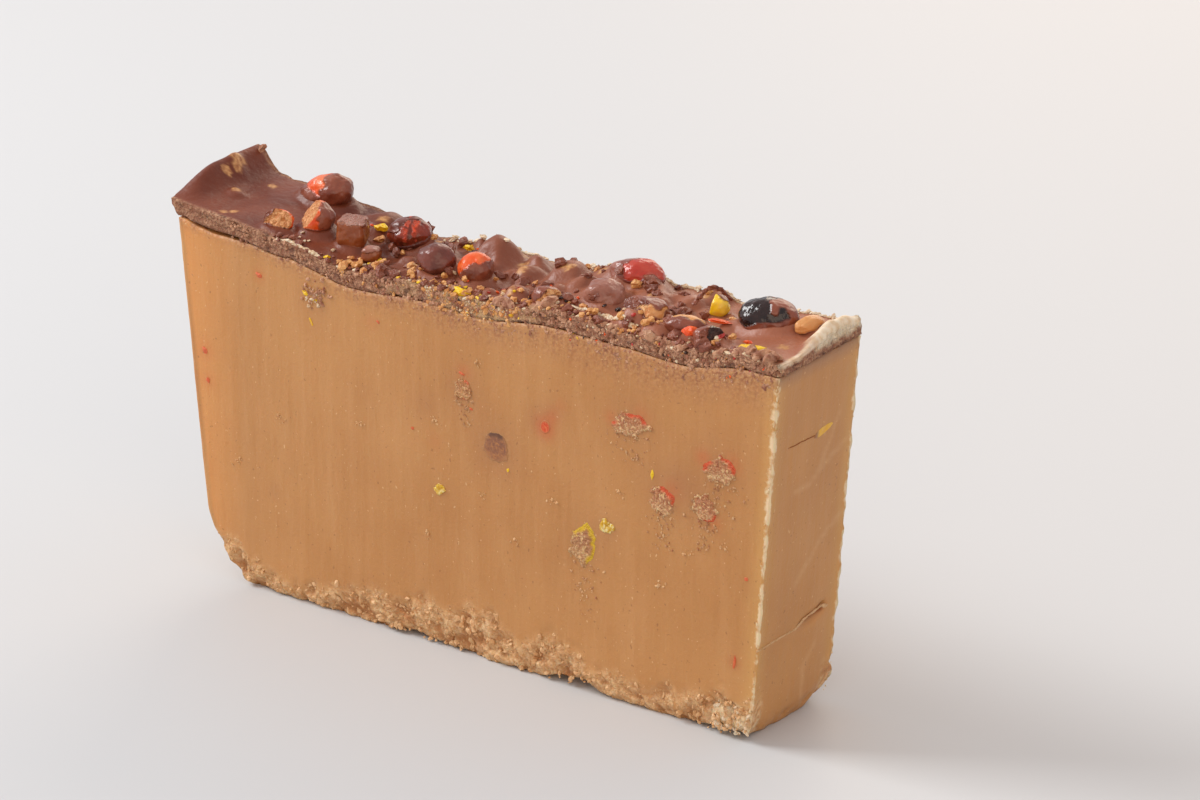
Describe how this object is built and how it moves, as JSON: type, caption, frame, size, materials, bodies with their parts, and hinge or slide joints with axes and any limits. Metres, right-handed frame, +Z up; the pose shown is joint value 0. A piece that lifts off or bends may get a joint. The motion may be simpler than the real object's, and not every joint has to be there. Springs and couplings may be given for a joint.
{
  "type": "fudge",
  "caption": "Cut slice of peanut butter fudge with a thin milk chocolate top, chopped shell candies and nuts pressed in, and cut candies showing in its faces",
  "frame": {"origin": "middle of the base that the slice stands on", "axes": "+X along the slice, +Y across its thickness towards the back face, +Z up to the chocolate"},
  "size_m": [0.1546, 0.027, 0.0875],
  "materials": {
    "fudge": "dense, smooth cut faces with a crumbly foot, slightly translucent",
    "milk_chocolate": "satin, set milk chocolate with a crumbly broken edge",
    "chocolate_coating": "glossy thin chocolate over a candy or nut",
    "shell_orange": "glossy sugar shell",
    "shell_red": "glossy sugar shell under a film of chocolate",
    "shell_yellow": "glossy sugar shell",
    "shell_dark": "glossy dark brown sugar shell",
    "roasted_nut": "matt roasted nut, partly under chocolate",
    "candy_filling": "crumbly cut candy with a line of shell round it"
  },
  "bodies": {
    "root": {"fudge": "fudge", "chocolate": "milk_chocolate", "candy_orange_patch": "chocolate_coating", "candy_half_orange": "shell_orange", "candy_small_half": "roasted_nut", "nut_square": "chocolate_coating", "candy_streaked": "chocolate_coating", "nut_small_front": "chocolate_coating", "candy_brown_ball": "chocolate_coating", "candy_orange_ball": "shell_orange", "nut_front_coated": "roasted_nut", "candy_red_back": "shell_red", "nut_brown_lump": "chocolate_coating", "nut_tan_lump": "roasted_nut", "nut_long": "roasted_nut", "candy_yellow_half": "shell_yellow", "candy_black_chunk": "shell_dark", "candy_dark_large": "shell_dark", "peanut_right": "roasted_nut", "cut_brown_deep": "candy_filling", "cut_orange_spot": "shell_orange", "cut_orange_arc": "candy_filling", "cut_orange_rim": "candy_filling", "cut_red_arcs": "candy_filling", "cut_orange_low": "candy_filling", "cut_yellow_long": "shell_yellow", "cut_yellow_round": "shell_yellow", "cut_yellow_small": "shell_yellow", "cut_pink_crumbs": "candy_filling", "back_cut_orange": "candy_filling", "back_cut_yellow": "shell_yellow", "back_cut_brown": "candy_filling", "back_cut_red": "candy_filling", "back_cut_small": "shell_orange", "end_yellow_shard": "shell_yellow"}
  },
  "joints": []
}
